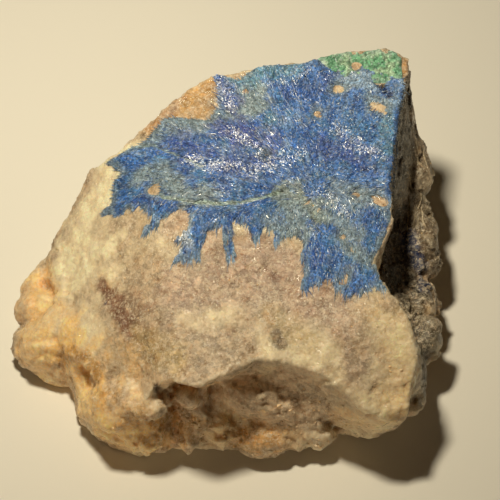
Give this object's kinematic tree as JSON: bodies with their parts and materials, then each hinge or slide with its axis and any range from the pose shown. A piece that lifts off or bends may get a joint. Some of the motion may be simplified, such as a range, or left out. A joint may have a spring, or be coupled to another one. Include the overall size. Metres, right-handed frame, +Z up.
{
  "type": "linarite on quartz mineral specimen",
  "caption": "Broken block of milky, iron-stained quartz with a bladed deep blue linarite crust on its tilted upper face and a small green malachite patch at the high corner.",
  "frame": {"origin": "bottom centre of the specimen's bounding box, on the plane that it rests on", "axes": "+Z up from the resting face, -Y towards the front ledge and hollow, +X towards the right wall beside the blue crust"},
  "size_m": [0.0692, 0.058, 0.0338],
  "materials": {
    "quartz": "milky and translucent, granular, stained tan and orange by iron",
    "linarite": "bladed, glassy, sparkling",
    "malachite": "dull to silky, knobbly"
  },
  "bodies": {
    "root": {"quartz_matrix": "quartz", "linarite_crust": "linarite", "malachite_crust": "malachite"}
  },
  "joints": []
}
